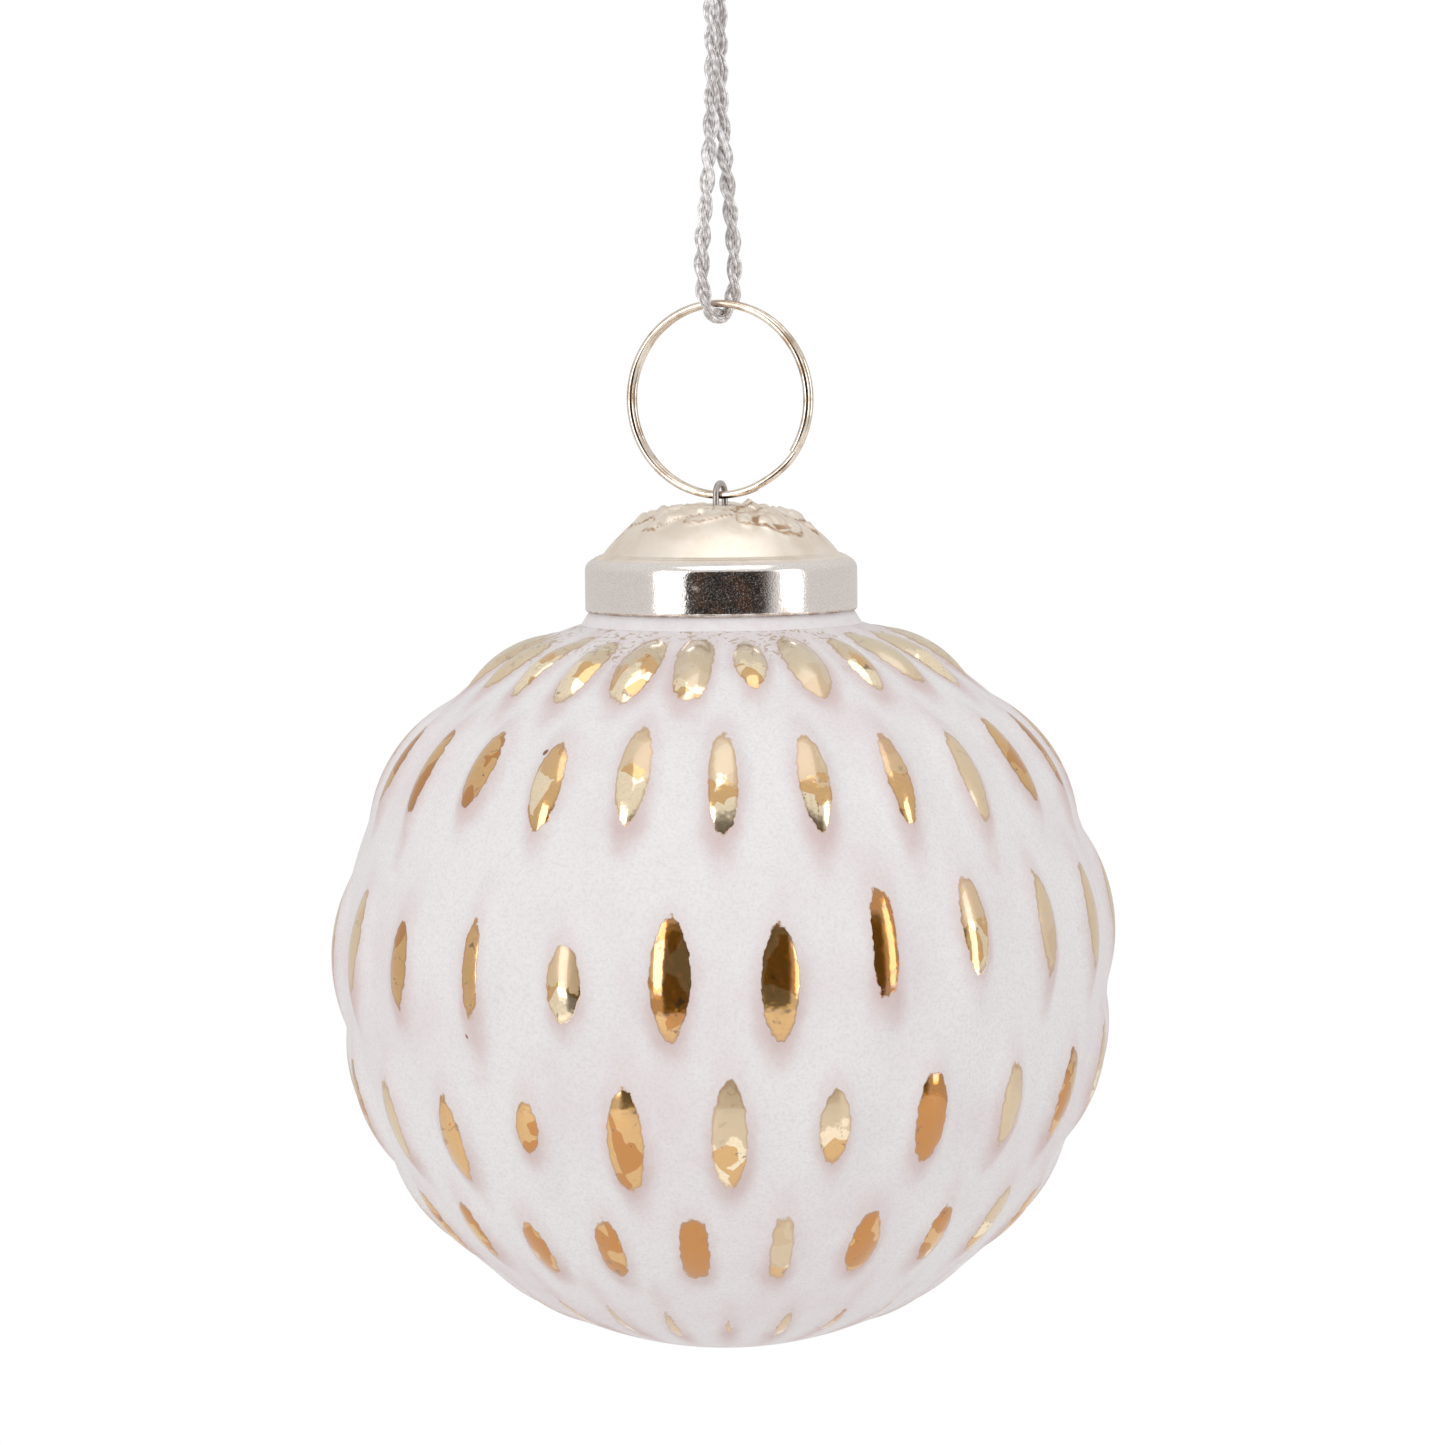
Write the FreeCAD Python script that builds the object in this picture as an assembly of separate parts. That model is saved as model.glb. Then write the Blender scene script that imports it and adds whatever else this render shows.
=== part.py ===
import FreeCAD, Part
import math
import os

from FreeCAD import Vector

# Hanging ornament: a blown glass ball with rows of raised almond bosses, a stamped metal cap
# bedded on its neck, a wire eye through the cap, a two-turn split ring and a hanging cord.
# Millimetres, +Z up. The origin is the hanging point, just under the knot of the cord.
# The ring lies in the XZ plane, and everything below the cord is placed from the cord's bight.

# ---------------------------------------------------------------- driving dimensions
BALL_DIAMETER = 100.0        # over the crests of the bosses
GLASS_WALL = 1.3
SHOULDER_LATITUDE = 22.0     # the body tapers towards the neck above this latitude, degrees
SHOULDER_RADIUS = 43.0       # outline radius of the tapered part
NECK_DIAMETER = 27.0
NECK_ROOT_RADIUS = 1.8
NECK_HEADROOM = 1.0          # from the neck's rim up to the inside of the cap's ledge

BOSSES_PER_ROW = 24
BOSS_HEIGHT = 1.4            # of the tallest rows
BOSS_CROSS_RADIUS = 5.4      # radius across a boss on the widest row
BOSS_PITCH_SHARE = 0.44      # largest share of the row's pitch that this radius may take
LEAN_AZIMUTH = 112.5         # side of the ball where the hand-pressed rows stand highest
# latitude in degrees, visible length, share of the full height, shift round the ball in
# pitches, lean in degrees
BOSS_ROWS = [
    (56.0, 13.0, 0.8, 0.0, 1.0),
    (33.5, 18.5, 1.0, 0.5, 0.0),
    (6.5, 20.0, 1.0, 0.0, 3.0),
    (-17.0, 18.5, 1.0, 0.53, 2.0),
    (-37.0, 15.5, 0.65, 0.12, 0.5),
    (-58.0, 12.0, 0.3, 0.5, 0.0),
]

CAP_DIAMETER = 34.4
CAP_SHEET = 0.5
SKIRT_HEIGHT = 6.9
SKIRT_CORNER = 1.2           # rounded shoulder between the skirt and the ledge
SKIRT_GAP = 1.5              # from the glass shoulder up to the skirt's lower edge
LEDGE_WIDTH = 2.2            # from the skirt in to the foot of the dome
BEAD_RADIUS = 0.3            # fine raised bead at the foot of the dome
DOME_HEIGHT = 6.2            # from the ledge to the foot of the centre pad
PAD_DIAMETER = 8.8
PAD_HEIGHT = 0.35
DOME_BULGE = 1.35            # of the dome beyond the straight line from its foot to the pad
CEMENT_FLARE = 1.6           # spread of the cement from the skirt down to the glass

EYE_WIRE = 0.8
EYE_BEND_RADIUS = 0.9        # where the legs turn outwards under the cap
EYE_SPLAY = 70.0             # degrees that each leg turns outwards
EYE_LEG_LENGTH = 6.0         # straight end of each leg

RING_DIAMETER = 25.0         # outside
RING_WIRE = 0.95
RING_TURN_GAP = 0.04         # between the two turns
RING_CROSSING_AT = 40.0      # degrees from the bottom of the ring towards +X
RING_CROSSING_SPAN = 30.0    # degrees over which the wire crosses from turn to turn
RING_END_GAP = 2.0           # degrees from each wire end to the crossing

CORD_DIAMETER = 2.0
KNOT_DIAMETER = 6.4
KNOT_HEIGHT = 6.5
KNOT_FLAT = 4.6              # diameter of its flat underside, where both strands enter
TAIL_LENGTH = 7.0
TAIL_LEAN = 24.0             # degrees from upright
BIGHT_SLACK = 0.5            # between each strand's side and the coils of the ring

FIT = 0.1                    # clearance between pieces that move on each other

BIGHT_REACH = RING_WIRE + RING_TURN_GAP / 2 + CORD_DIAMETER / 2 + BIGHT_SLACK

# The cord's route, from the knot down the front strand, round the ring and up the back strand.
# Both ends are gripped in the knot. Under it the strands leave an eye for a hook, close up,
# and part again at the ring.
CORD_ROUTE = [
    (0.0, -1.3, 0.8),
    (0.0, -3.1, -6.5),
    (0.0, -1.15, -14.0),
    (-0.1, -1.1, -26.0),
    (-0.8, -0.85, -34.0),
    (-1.5, -BIGHT_REACH, -47.5),
    (0.0, -BIGHT_REACH, -52.9),
    (0.0, BIGHT_REACH, -52.9),
    (1.5, BIGHT_REACH, -47.5),
    (0.8, 0.85, -34.0),
    (0.1, 1.1, -26.0),
    (0.0, 1.15, -14.0),
    (0.0, 3.1, -6.5),
    (0.0, 1.3, 0.8),
]
CORD_BIGHT = -52.9           # height of the cord's centre line where the ring hangs

# ---------------------------------------------------------------- heights that follow
RING_RADIUS = RING_DIAMETER / 2 - RING_WIRE / 2
TURN_OFFSET = (RING_WIRE + RING_TURN_GAP) / 2
COIL_REACH = TURN_OFFSET + RING_WIRE / 2
RING_TOP = CORD_BIGHT + CORD_DIAMETER / 2 + FIT + RING_WIRE / 2
RING_CENTRE = RING_TOP - RING_RADIUS
RING_BOTTOM = RING_CENTRE - RING_RADIUS
EYE_ARCH_RADIUS = COIL_REACH + FIT + EYE_WIRE / 2
PAD_TOP = RING_BOTTOM - COIL_REACH - FIT
LEDGE_TOP = PAD_TOP - PAD_HEIGHT - DOME_HEIGHT
SKIRT_BOTTOM = LEDGE_TOP - SKIRT_HEIGHT

BODY_RADIUS = BALL_DIAMETER / 2 - BOSS_HEIGHT
CAP_RADIUS = CAP_DIAMETER / 2
NECK_RADIUS = NECK_DIAMETER / 2


def revolve(edges):
    """Solid of revolution about Z from closed (radius, height) edges in the XZ plane."""
    face = Part.Face(Part.Wire(edges))
    return face.revolve(Vector(0, 0, 0), Vector(0, 0, 1), 360)


def at(radius, height):
    return Vector(radius, 0, height)


def line(start, end):
    return Part.LineSegment(start, end).toShape()


def arc(start, middle, end):
    return Part.Arc(start, middle, end).toShape()


# ---------------------------------------------------------------- glass
# The outline is worked out about the ball's centre and moved into place at the end.
SHOULDER = math.radians(SHOULDER_LATITUDE)
TAPER_CENTRE = (
    (BODY_RADIUS - SHOULDER_RADIUS) * math.cos(SHOULDER),
    (BODY_RADIUS - SHOULDER_RADIUS) * math.sin(SHOULDER),
)


def taper_height(radius, inset):
    """Height of the tapered outline at a radius, for the outer or the inset surface."""
    reach = SHOULDER_RADIUS - inset
    return TAPER_CENTRE[1] + math.sqrt(reach ** 2 - (radius - TAPER_CENTRE[0]) ** 2)


BALL_CENTRE = SKIRT_BOTTOM - SKIRT_GAP - taper_height(CAP_RADIUS, 0.0)
NECK_TOP = LEDGE_TOP - CAP_SHEET - NECK_HEADROOM - BALL_CENTRE


def body_arcs(inset, end_radius):
    """The outline from the bottom pole up to the neck, inset by the wall or not."""
    sphere = BODY_RADIUS - inset
    taper = SHOULDER_RADIUS - inset
    low = at(0, -sphere)
    start = -math.pi / 2
    middle = (start + SHOULDER) / 2
    turn = at(sphere * math.cos(SHOULDER), sphere * math.sin(SHOULDER))
    end = at(end_radius, taper_height(end_radius, inset))
    last = math.atan2(end.z - TAPER_CENTRE[1], end.x - TAPER_CENTRE[0])
    half = (SHOULDER + last) / 2
    bend = at(TAPER_CENTRE[0] + taper * math.cos(half), TAPER_CENTRE[1] + taper * math.sin(half))
    lower = arc(low, at(sphere * math.cos(middle), sphere * math.sin(middle)), turn)
    return [lower, arc(turn, bend, end)], low, end


def filled_glass():
    """The outside of the glass as a solid, without bosses."""
    edges, low, shoulder = body_arcs(0.0, NECK_RADIUS + NECK_ROOT_RADIUS)
    root = at(NECK_RADIUS, shoulder.z + NECK_ROOT_RADIUS)
    quarter = NECK_ROOT_RADIUS * (1 - math.sqrt(0.5))
    top = at(NECK_RADIUS, NECK_TOP)
    axis_top = at(0, NECK_TOP)
    edges.append(arc(shoulder, at(NECK_RADIUS + quarter, shoulder.z + quarter), root))
    edges += [line(root, top), line(top, axis_top), line(axis_top, low)]
    return revolve(edges)


def cavity():
    """The inside of the glass, open at the neck."""
    bore = NECK_RADIUS - GLASS_WALL
    edges, low, shoulder = body_arcs(GLASS_WALL, bore)
    mouth = NECK_TOP + GLASS_WALL
    edges += [
        line(shoulder, at(bore, mouth)),
        line(at(bore, mouth), at(0, mouth)),
        line(at(0, mouth), low),
    ]
    return revolve(edges)


def surface_point(latitude):
    """Radius, height and outward normal of the outline at a latitude in radians."""
    if latitude <= SHOULDER:
        normal = (math.cos(latitude), math.sin(latitude))
        return BODY_RADIUS * normal[0], BODY_RADIUS * normal[1], normal
    ray = (math.cos(latitude), math.sin(latitude))
    along = ray[0] * TAPER_CENTRE[0] + ray[1] * TAPER_CENTRE[1]
    offset = TAPER_CENTRE[0] ** 2 + TAPER_CENTRE[1] ** 2
    reach = along + math.sqrt(along ** 2 - offset + SHOULDER_RADIUS ** 2)
    radius, height = reach * ray[0], reach * ray[1]
    normal = (
        (radius - TAPER_CENTRE[0]) / SHOULDER_RADIUS,
        (height - TAPER_CENTRE[1]) / SHOULDER_RADIUS,
    )
    return radius, height, normal


def boss(latitude, length, rise):
    """One pointed boss at azimuth 0: a spindle whose axis follows the meridian."""
    radius, height, normal = surface_point(math.radians(latitude))
    pitch = 2 * math.pi * radius / BOSSES_PER_ROW
    cross = min(BOSS_CROSS_RADIUS, BOSS_PITCH_SHARE * pitch)
    half = length / 2
    drop = rise + half ** 2 / (2 * BODY_RADIUS)
    sweep = (half ** 2 + drop ** 2) / (2 * drop)
    tip = math.sqrt(sweep ** 2 - (sweep - cross) ** 2)
    side = arc(at(0, -tip), at(cross, 0), at(0, tip))
    spindle = revolve([side, line(at(0, tip), at(0, -tip))])
    depth = rise - cross
    spindle.rotate(Vector(0, 0, 0), Vector(0, 1, 0), -math.degrees(math.atan2(normal[1], normal[0])))
    spindle.translate(at(radius + depth * normal[0], height + depth * normal[1]))
    return spindle


def boss_row(latitude, length, share, shift, lean):
    """All the bosses of one row round the ball, about the ball's centre."""
    row = []
    for number in range(BOSSES_PER_ROW):
        azimuth = (number + shift) * 360.0 / BOSSES_PER_ROW
        tilt = lean * math.cos(math.radians(azimuth - LEAN_AZIMUTH))
        one = boss(latitude + tilt, length, share * BOSS_HEIGHT)
        one.rotate(Vector(0, 0, 0), Vector(0, 0, 1), azimuth - 90)
        row.append(one)
    return row


def glass_ball():
    bosses = [one for row in BOSS_ROWS for one in boss_row(*row)]
    ball = filled_glass().multiFuse(bosses).cut(cavity())
    ball.translate(Vector(0, 0, BALL_CENTRE))
    return ball


# ---------------------------------------------------------------- cap and its bedding
def dome_arc(inset):
    """The dome between its foot and the centre pad, inset by the sheet or not."""
    foot_radius = CAP_RADIUS - LEDGE_WIDTH - inset
    pad_radius = PAD_DIAMETER / 2 - inset
    foot = at(foot_radius, LEDGE_TOP - inset)
    pad = at(pad_radius, PAD_TOP - PAD_HEIGHT - inset)
    chord = pad - foot
    normal = Vector(-chord.z, 0, chord.x).normalize() * -1
    return arc(foot, (foot + pad) * 0.5 + normal * DOME_BULGE, pad), foot, pad


def cap_volume(inset):
    """The cap's outside, or its inside when inset by the sheet."""
    dome, foot, pad = dome_arc(inset)
    corner = SKIRT_CORNER - inset * 0.5
    skirt = CAP_RADIUS - inset
    ledge = LEDGE_TOP - inset
    bottom = SKIRT_BOTTOM - inset
    quarter = corner * (1 - math.sqrt(0.5))
    pad_edge = at(pad.x, pad.z + PAD_HEIGHT)
    low_axis = at(0, bottom)
    edges = [
        line(low_axis, at(skirt, bottom)),
        line(at(skirt, bottom), at(skirt, ledge - corner)),
        arc(at(skirt, ledge - corner), at(skirt - quarter, ledge - quarter), at(skirt - corner, ledge)),
        line(at(skirt - corner, ledge), foot),
        dome,
        line(pad, pad_edge),
        line(pad_edge, at(0, pad_edge.z)),
        line(at(0, pad_edge.z), low_axis),
    ]
    return revolve(edges)


def cap():
    bead = Part.makeTorus(CAP_RADIUS - LEDGE_WIDTH, BEAD_RADIUS, at(0, LEDGE_TOP))
    hole = EYE_ARCH_RADIUS + EYE_WIRE / 2 + FIT
    drill = Part.makeCylinder(hole, 4 * CAP_SHEET, at(0, PAD_TOP - 2 * CAP_SHEET))
    return cap_volume(0.0).fuse(bead).cut(cap_volume(CAP_SHEET)).cut(drill)


def cap_cement():
    """Plaster ring that beds the cap on the neck and flares onto the glass under its skirt."""
    outer = CAP_RADIUS - CAP_SHEET
    low = BALL_CENTRE + taper_height(CAP_RADIUS, 0.0) - 1.0
    high = BALL_CENTRE + NECK_TOP
    flare = Part.makeCone(outer + CEMENT_FLARE, outer, SKIRT_BOTTOM - low, at(0, low))
    ring = Part.makeCylinder(outer, high - low, at(0, low)).fuse(flare)
    ring = ring.cut(Part.makeCylinder(NECK_RADIUS, high - low, at(0, low)))
    glass = [filled_glass()] + boss_row(*BOSS_ROWS[0])
    for piece in glass:
        piece.translate(Vector(0, 0, BALL_CENTRE))
    return ring.cut(glass)


# ---------------------------------------------------------------- wire parts
def pipe(path, start, direction, diameter):
    """Round wire along a path of tangent lines and arcs."""
    section = Part.Wire(Part.Circle(start, direction, diameter / 2).toShape())
    return path.makePipeShell([section], True, True)


def wire_eye():
    """Bent wire: an arch over the ring, two legs through the cap, splayed under it."""
    splay = math.radians(EYE_SPLAY)
    bend_at = PAD_TOP - CAP_SHEET - FIT
    reach = EYE_ARCH_RADIUS

    def leg(side):
        centre = Vector(0, side * (reach + EYE_BEND_RADIUS), bend_at)

        def on_bend(angle):
            outward = -side * EYE_BEND_RADIUS * math.cos(angle)
            return centre + Vector(0, outward, -EYE_BEND_RADIUS * math.sin(angle))

        along = Vector(0, side * math.sin(splay), -math.cos(splay))
        top = Vector(0, side * reach, RING_BOTTOM)
        tip = on_bend(splay) + along * EYE_LEG_LENGTH
        return top, on_bend(0.0), on_bend(splay / 2), on_bend(splay), tip, along

    top, knee, middle, heel, tip, along = leg(-1)
    top2, knee2, middle2, heel2, tip2, _ = leg(1)
    arch = arc(top, Vector(0, 0, RING_BOTTOM + reach), top2)
    path = Part.Wire([
        line(tip, heel),
        arc(heel, middle, knee),
        line(knee, top),
        arch,
        line(top2, knee2),
        arc(knee2, middle2, heel2),
        line(heel2, tip2),
    ])
    return pipe(path, tip, along, EYE_WIRE)


def split_ring():
    """Two turns of round wire side by side, joined by one crossing."""
    section_radius = RING_WIRE / 2
    half_span = RING_CROSSING_SPAN / 2
    tilt = math.degrees(math.asin(TURN_OFFSET / (RING_RADIUS * math.sin(math.radians(half_span)))))
    y_axis = Vector(0, 1, 0)

    def turn(start, span, offset, lean):
        """A stretch of the ring, measured from its bottom towards +X."""
        circle = Part.Circle(Vector(0, 0, -RING_RADIUS), Vector(1, 0, 0), section_radius)
        face = Part.Face(Part.Wire(circle.toShape()))
        part = face.revolve(Vector(0, 0, 0), y_axis, -span)
        part.rotate(Vector(0, 0, 0), y_axis, half_span)
        part.rotate(Vector(0, 0, 0), Vector(0, 0, 1), lean)
        part.rotate(Vector(0, 0, 0), y_axis, -start - half_span)
        part.translate(Vector(0, offset, 0))
        return part

    def joint(angle, offset):
        turned = math.radians(angle)
        centre = Vector(RING_RADIUS * math.sin(turned), offset, -RING_RADIUS * math.cos(turned))
        return Part.makeSphere(section_radius, centre)

    first = RING_CROSSING_AT - half_span
    last = RING_CROSSING_AT + half_span
    long_way = 360 - RING_CROSSING_SPAN - RING_END_GAP
    crossing = turn(first, RING_CROSSING_SPAN, 0.0, tilt)
    back = turn(last, long_way, TURN_OFFSET, 0.0)
    front = turn(last + RING_END_GAP, long_way, -TURN_OFFSET, 0.0)
    pieces = [front, back, joint(first, -TURN_OFFSET), joint(last, TURN_OFFSET)]
    ring = crossing.multiFuse(pieces)
    ring.translate(Vector(0, 0, RING_CENTRE))
    return ring


# ---------------------------------------------------------------- cord
def hanging_cord():
    """Round tube along the route: straight runs joined by tangent arcs."""
    points = [Vector(*point) for point in CORD_ROUTE]
    edges = []
    start = points[0]
    for before, point, after in zip(points, points[1:], points[2:]):
        back = (before - point).normalize()
        ahead = (after - point).normalize()
        half_turn = (math.pi - back.getAngle(ahead)) / 2
        trim = 0.45 * min((point - before).Length, (after - point).Length)
        radius = trim / math.tan(half_turn)
        print(f"cord bend at {point.z:6.1f}: radius {radius:6.2f}, turn {math.degrees(2 * half_turn):5.1f}")
        enter = point + back * trim
        leave = point + ahead * trim
        inward = (back + ahead).normalize()
        crown = point + inward * (radius / math.cos(half_turn) - radius)
        edges.append(line(start, enter))
        edges.append(arc(enter, crown, leave))
        start = leave
    edges.append(line(start, points[-1]))
    path = Part.Wire(edges)
    print(f"cord length {path.Length:.2f}")
    return pipe(path, points[0], points[1] - points[0], CORD_DIAMETER)


def cord_knot():
    """Outer shape of the knot that ties both strands, with its two short tails."""
    flat = KNOT_FLAT / 2
    belly = at(KNOT_DIAMETER / 2, KNOT_HEIGHT / 2)
    low, high = at(flat, 0), at(flat, KNOT_HEIGHT)
    body = revolve([
        line(at(0, 0), low),
        arc(low, belly, high),
        line(high, at(0, KNOT_HEIGHT)),
        line(at(0, KNOT_HEIGHT), at(0, 0)),
    ])
    lean = math.radians(TAIL_LEAN)
    tails = []
    for side in (-1, 1):
        foot = Vector(side * 0.9, 0, KNOT_HEIGHT / 2)
        along = Vector(side * math.sin(lean), 0, math.cos(lean))
        tails.append(Part.makeCylinder(CORD_DIAMETER / 2, KNOT_HEIGHT / 2 + TAIL_LENGTH, foot, along))
    return body.multiFuse(tails)


PIECES = {
    "glass_ball": glass_ball,
    "cap": cap,
    "cap_cement": cap_cement,
    "wire_eye": wire_eye,
    "split_ring": split_ring,
    "hanging_cord": hanging_cord,
    "cord_knot": cord_knot,
}

os.makedirs("parts", exist_ok=True)
for name, make in PIECES.items():
    shape = make()
    if len(shape.Solids) == 1:
        shape = shape.Solids[0]
    print(f"{name}: {len(shape.Solids)} solid, {shape.Volume:.1f} mm3, valid {shape.isValid()}")
    shape.exportStep(os.path.join("parts", name + ".step"))
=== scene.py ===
import math
import random

import bpy
import numpy as np
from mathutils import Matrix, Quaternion, Vector, noise


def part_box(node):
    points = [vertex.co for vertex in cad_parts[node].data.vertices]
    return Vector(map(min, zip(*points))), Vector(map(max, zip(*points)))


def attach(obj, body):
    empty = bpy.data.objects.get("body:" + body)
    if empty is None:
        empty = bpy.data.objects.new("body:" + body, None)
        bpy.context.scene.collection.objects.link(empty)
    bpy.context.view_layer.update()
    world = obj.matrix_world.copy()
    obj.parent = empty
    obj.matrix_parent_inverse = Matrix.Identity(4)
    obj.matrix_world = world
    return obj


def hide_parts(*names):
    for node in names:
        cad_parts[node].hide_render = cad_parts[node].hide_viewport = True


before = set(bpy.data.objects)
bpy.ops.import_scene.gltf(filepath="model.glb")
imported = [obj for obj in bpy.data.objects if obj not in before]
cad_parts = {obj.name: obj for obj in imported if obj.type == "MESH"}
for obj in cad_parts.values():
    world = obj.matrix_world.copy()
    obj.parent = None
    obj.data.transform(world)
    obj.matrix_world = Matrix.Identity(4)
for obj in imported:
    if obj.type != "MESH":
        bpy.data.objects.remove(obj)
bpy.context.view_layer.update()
random.seed(24)

# Hanging glass ball ornament. Metres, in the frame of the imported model.
MM = 0.001
scene = bpy.context.scene

# ---------------------------------------------------------------- places and sizes
BODY_RADIUS = 48.6 * MM
BALL_LOW = Vector(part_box("glass_ball")[0])
BALL_CENTRE = Vector((0, 0, BALL_LOW.z + BODY_RADIUS))
CAP_LOW = Vector(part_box("cap")[0])
RING_LOW, RING_HIGH = (Vector(corner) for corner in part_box("split_ring"))

BOSSES_PER_ROW = 24
LEAN_AZIMUTH = 112.5
# latitude of each row of bosses, its shift in pitches and its lean
BOSS_ROWS = [
    (56.0, 0.0, 1.0),
    (33.5, 0.5, 0.0),
    (6.5, 0.0, 3.0),
    (-17.0, 0.53, 2.0),
    (-37.0, 0.12, 0.5),
    (-58.0, 0.5, 0.0),
]

CORD_ROUTE = [
    (0.0, -1.3, 0.8),
    (0.0, -3.1, -6.5),
    (0.0, -1.15, -14.0),
    (-0.1, -1.1, -26.0),
    (-0.8, -0.85, -34.0),
    (-1.5, -2.47, -47.5),
    (-0.4, -2.47, -52.9),
    (0.4, 2.47, -52.9),
    (1.5, 2.47, -47.5),
    (0.8, 0.85, -34.0),
    (0.1, 1.1, -26.0),
    (0.0, 1.15, -14.0),
    (0.0, 3.1, -6.5),
    (0.0, 1.3, 0.8),
]
# one strand's way round the knot and out into its tail; the other strand is its half turn
KNOT_ROUTE = [
    (0.0, -1.3, 0.4),
    (-0.6, -1.5, 2.0),
    (-2.3, -0.9, 3.3),
    (-2.0, 1.6, 3.6),
    (0.6, 2.3, 3.0),
    (2.6, 0.8, 2.2),
    (1.9, -1.7, 1.9),
    (-0.6, -2.2, 2.9),
    (-2.2, -0.3, 4.6),
    (-0.7, 1.0, 5.6),
    (1.0, 0.4, 6.6),
    (1.9, 0.1, 8.6),
    (3.1, 0.2, 12.4),
]


# ---------------------------------------------------------------- small helpers
def rest():
    """Leaves edit mode with nothing selected."""
    if bpy.context.mode != "OBJECT":
        bpy.ops.object.mode_set(mode="OBJECT")
    bpy.ops.object.select_all(action="DESELECT")


def settle(name):
    """Names the piece just made and moves its place into its mesh."""
    if bpy.context.mode != "OBJECT":
        bpy.ops.object.mode_set(mode="OBJECT")
    piece = bpy.context.object
    piece.name = name
    piece.data.name = name
    bpy.ops.object.transform_apply(location=True, rotation=True, scale=True)
    return piece


def finish_with(piece, kind, **settings):
    """Adds a modifier with these settings and applies it."""
    bpy.context.view_layer.objects.active = piece
    modifier = piece.modifiers.new(kind.title(), kind)
    for key, value in settings.items():
        setattr(modifier, key, value)
    bpy.ops.object.modifier_apply(modifier=modifier.name)


def turned(name, profile, segments):
    """A thin turned shape: a ring is extruded from one (radius, height) to the next."""
    rest()
    radius, height = profile[0]
    bpy.ops.mesh.primitive_circle_add(vertices=segments, radius=radius, location=(0, 0, height))
    bpy.ops.object.mode_set(mode="EDIT")
    bpy.ops.mesh.select_all(action="SELECT")
    for wider, higher in profile[1:]:
        bpy.ops.mesh.extrude_region_move(
            TRANSFORM_OT_translate={"value": (0, 0, higher - height)}
        )
        share = wider / radius
        bpy.ops.transform.resize(value=(share, share, 1), center_override=(0, 0, higher))
        radius, height = wider, higher
    bpy.ops.mesh.select_all(action="SELECT")
    bpy.ops.mesh.normals_make_consistent(inside=False)
    return settle(name)


def store(mesh, name, values):
    """Keeps one number per vertex for a material to read."""
    attribute = mesh.attributes.new(name, "FLOAT", "POINT")
    attribute.data.foreach_set("value", np.asarray(values, dtype=np.float32))


# ---------------------------------------------------------------- camera
CAMERA_AZIMUTH = math.radians(22.5)
CAMERA_REACH = 545 * MM
CAMERA_RISE = 75 * MM
AIM_RISE = 30.6 * MM
CAMERA_ROLL = math.radians(-0.55)


def make_camera():
    rest()
    around = Vector((math.sin(CAMERA_AZIMUTH), -math.cos(CAMERA_AZIMUTH), 0))
    place = BALL_CENTRE + around * CAMERA_REACH + Vector((0, 0, CAMERA_RISE))
    aim = BALL_CENTRE + Vector((0, 0, AIM_RISE))
    bpy.ops.object.camera_add(location=place)
    camera = bpy.context.object
    camera.name = "camera"
    camera.rotation_mode = "QUATERNION"
    level = (aim - place).to_track_quat("-Z", "Y")
    camera.rotation_quaternion = level @ Quaternion((0, 0, 1), CAMERA_ROLL)
    camera.data.sensor_width = 36
    camera.data.lens = 107.5
    camera.data.clip_start = 0.01
    scene.camera = camera


# ---------------------------------------------------------------- cord
def route_line(name, route, step):
    """Evenly spaced points along the smooth curve through a route's control points."""
    curve = bpy.data.curves.new(name, "CURVE")
    curve.dimensions = "3D"
    curve.resolution_u = 32
    spline = curve.splines.new("NURBS")
    spline.points.add(len(route) - 1)
    for point, place in zip(spline.points, route):
        point.co = (place[0] * MM, place[1] * MM, place[2] * MM, 1)
    spline.order_u = 3
    spline.use_endpoint_u = True
    holder = bpy.data.objects.new(name, curve)
    scene.collection.objects.link(holder)
    bpy.context.view_layer.update()
    graph = bpy.context.evaluated_depsgraph_get()
    line = bpy.data.meshes.new_from_object(holder.evaluated_get(graph))
    points = np.array([vertex.co for vertex in line.vertices])
    bpy.data.objects.remove(holder)
    bpy.data.meshes.remove(line)
    lengths = np.concatenate([[0], np.cumsum(np.linalg.norm(np.diff(points, axis=0), axis=1))])
    stations = np.linspace(0, lengths[-1], max(4, int(lengths[-1] / step)))
    return stations, np.stack([np.interp(stations, lengths, points[:, k]) for k in range(3)], 1)


def carried_frames(line):
    """Two directions across the line at each point, carried along it without twist."""
    ahead = np.gradient(line, axis=0)
    ahead /= np.linalg.norm(ahead, axis=1)[:, None]
    side = np.cross(ahead[0], (1.0, 0.13, 0.0))
    side /= np.linalg.norm(side)
    sides = [side]
    for direction in ahead[1:]:
        side = side - direction * np.dot(side, direction)
        side = side / np.linalg.norm(side)
        sides.append(side)
    sides = np.array(sides)
    return sides, np.cross(ahead, sides)


def yarn_tube(line, radius, sides_round):
    """Vertices and faces of a round strand along a line, closed at both ends."""
    across, over = carried_frames(line)
    turn = np.linspace(0, 2 * math.pi, sides_round, endpoint=False)
    ring = np.cos(turn)[None, :, None] * across[:, None] + np.sin(turn)[None, :, None] * over[:, None]
    reach = np.broadcast_to(np.asarray(radius), (len(line),))
    vertices = (line[:, None] + ring * reach[:, None, None]).reshape(-1, 3)
    faces = []
    for i in range(len(line) - 1):
        for j in range(sides_round):
            a, b = i * sides_round + j, i * sides_round + (j + 1) % sides_round
            faces.append((a, b, b + sides_round, a + sides_round))
    last = (len(line) - 1) * sides_round
    faces.append(tuple(reversed(range(sides_round))))
    faces.append(tuple(range(last, last + sides_round)))
    return vertices, faces


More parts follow.
